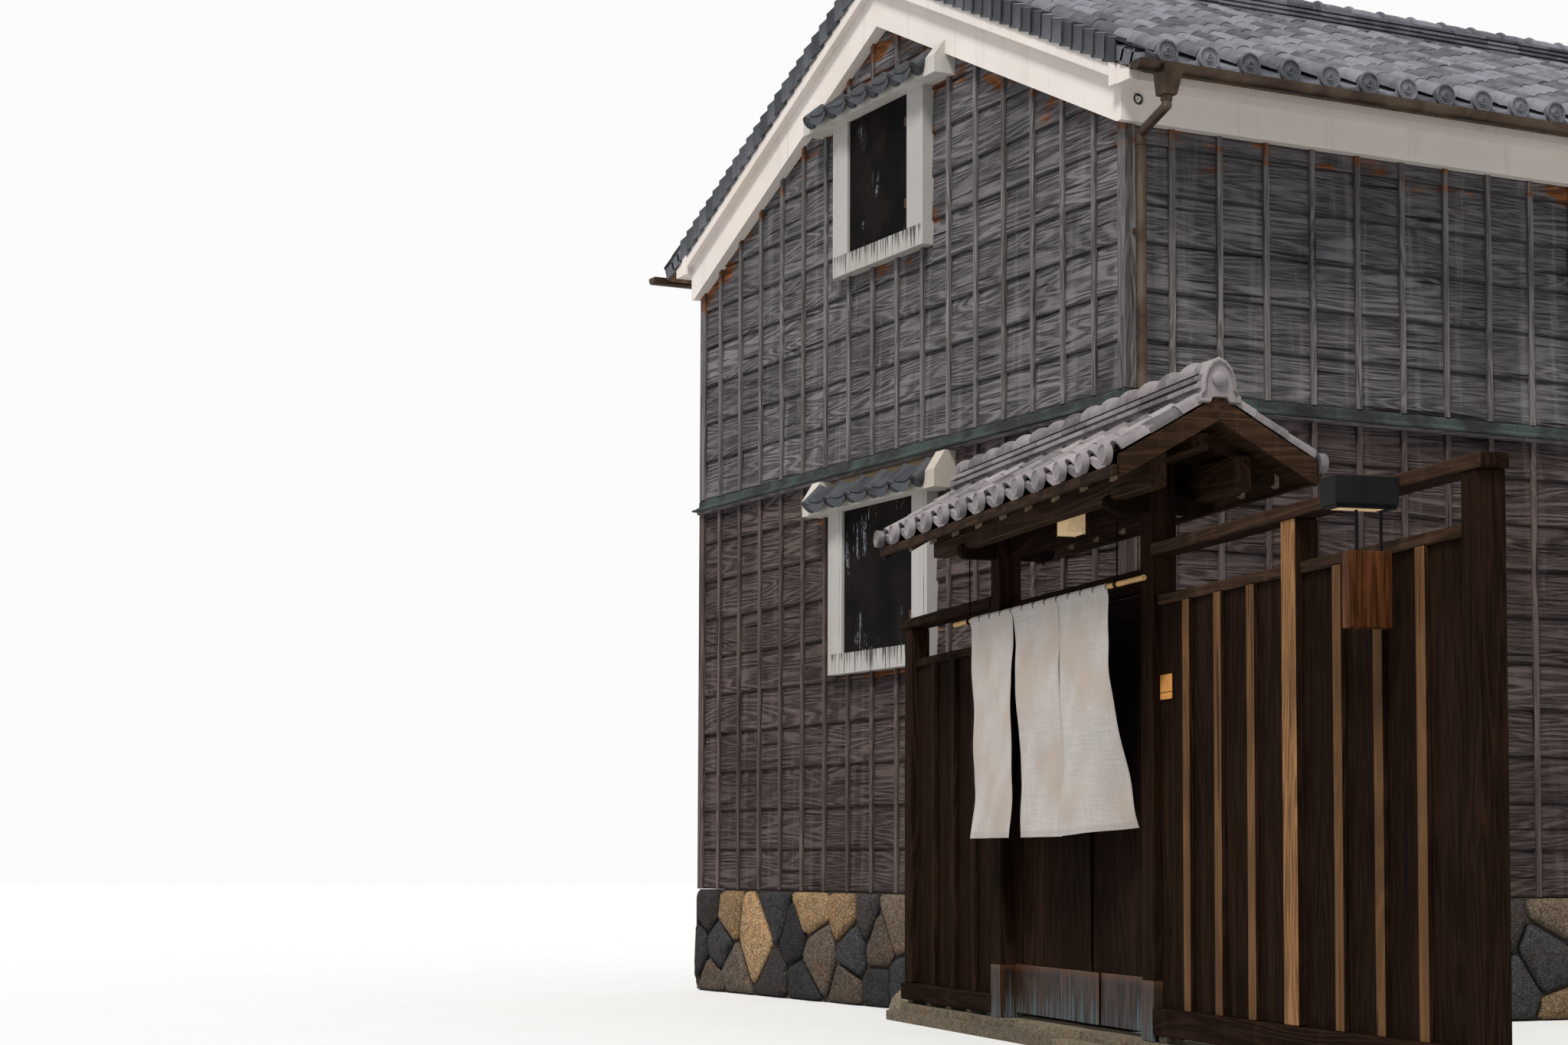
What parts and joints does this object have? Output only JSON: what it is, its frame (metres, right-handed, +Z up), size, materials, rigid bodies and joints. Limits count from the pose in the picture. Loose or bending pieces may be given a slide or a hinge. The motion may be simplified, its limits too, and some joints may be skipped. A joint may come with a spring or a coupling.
{
  "type": "machiya townhouse",
  "caption": "Storehouse-style machiya townhouse: boarded walls on a stone plinth, white plaster gable and eaves, tiled roof, canopied windows, street fence and roofed gate with swinging leaves.",
  "frame": {"origin": "on the ground under the middle of the street gable, in the plane of the corner boards' faces", "axes": "+X along the gable towards the gate, +Y into the house, +Z up"},
  "size_m": [10.96, 9.4637, 6.8134],
  "materials": {
    "fieldstone": "dark rubble stones with pale mortar",
    "floorboards": "plain boards",
    "clay_wall": "clay plaster on a timber frame",
    "weathered_boards": "grey weathered lapped boards with battens",
    "copper": "aged copper sheet, green and brown",
    "white_plaster": "white lime plaster",
    "roof_tile": "grey smoked tiles, matt silver",
    "window_plaster": "white lime plaster, stained",
    "canopy_plaster": "lime plaster with a row of grey tiles",
    "black_wood": "black-brown weathered shutters",
    "granite": "warm grey granite",
    "gutter_copper": "brown patinated copper",
    "brown_wood": "brown timber",
    "dark_boards": "dark brown boards and battens",
    "gate_wood": "dark brown timber",
    "gate_tile": "grey smoked tiles",
    "iron": "black hinges",
    "leaf_wood": "dark boards in a frame",
    "bamboo": "bamboo",
    "linen": "plain cream linen",
    "lantern_glass": "cream shade",
    "black_metal": "black"
  },
  "bodies": {
    "house": {"stone_plinth": "fieldstone", "ground_floor": "floorboards", "upper_floor": "floorboards", "front_wall": "clay_wall", "back_wall": "clay_wall", "left_wall": "clay_wall", "right_wall": "clay_wall", "front_cladding": "weathered_boards", "back_cladding": "weathered_boards", "left_cladding": "weathered_boards", "right_cladding": "weathered_boards", "drip_band": "copper", "front_gable_plaster": "white_plaster", "back_gable_plaster": "white_plaster", "left_eave_plaster": "white_plaster", "right_eave_plaster": "white_plaster", "roof_left": "roof_tile", "roof_right": "roof_tile", "verge_tiles": "roof_tile", "roof_ridge": "roof_tile", "upper_window_surround": "window_plaster", "upper_window_canopy": "canopy_plaster", "upper_window_shutter": "black_wood", "lower_window_surround": "window_plaster", "lower_window_canopy": "canopy_plaster", "lower_window_shutter": "black_wood", "back_window_surrounds": "window_plaster", "back_window_canopies": "canopy_plaster", "back_window_shutters": "black_wood", "yard_door_surround": "window_plaster", "yard_door": "black_wood", "yard_step": "granite", "gutter_left": "gutter_copper", "gutter_right": "gutter_copper", "downpipe": "gutter_copper", "street_stones": "granite", "fence_sills": "brown_wood", "fence_posts": "brown_wood", "fence_beams": "brown_wood", "fence_boards": "dark_boards", "gate_posts": "gate_wood", "gate_beams": "gate_wood", "gate_arms": "gate_wood", "gate_purlins": "gate_wood", "gate_rafters": "gate_wood", "gate_roof": "gate_tile", "gate_ridge": "gate_tile", "gate_pintles": "iron", "curtain_rod": "bamboo", "curtain_cloth": "linen", "lantern": "lantern_glass", "sign_lamp": "black_metal"},
    "left_leaf": {"gate_leaf_left": "leaf_wood"},
    "right_leaf": {"gate_leaf_right": "leaf_wood"}
  },
  "joints": [
    {"name": "left_leaf_hinge", "type": "hinge", "parent": "house", "child": "left_leaf", "pos_m": [2.85108, -0.70989, 0.385], "axis": [0, 0, 1], "range_deg": [0, 90]},
    {"name": "right_leaf_hinge", "type": "hinge", "parent": "house", "child": "right_leaf", "pos_m": [4.71398, -1.08856, 0.385], "axis": [0, 0, -1], "range_deg": [0, 90]}
  ]
}
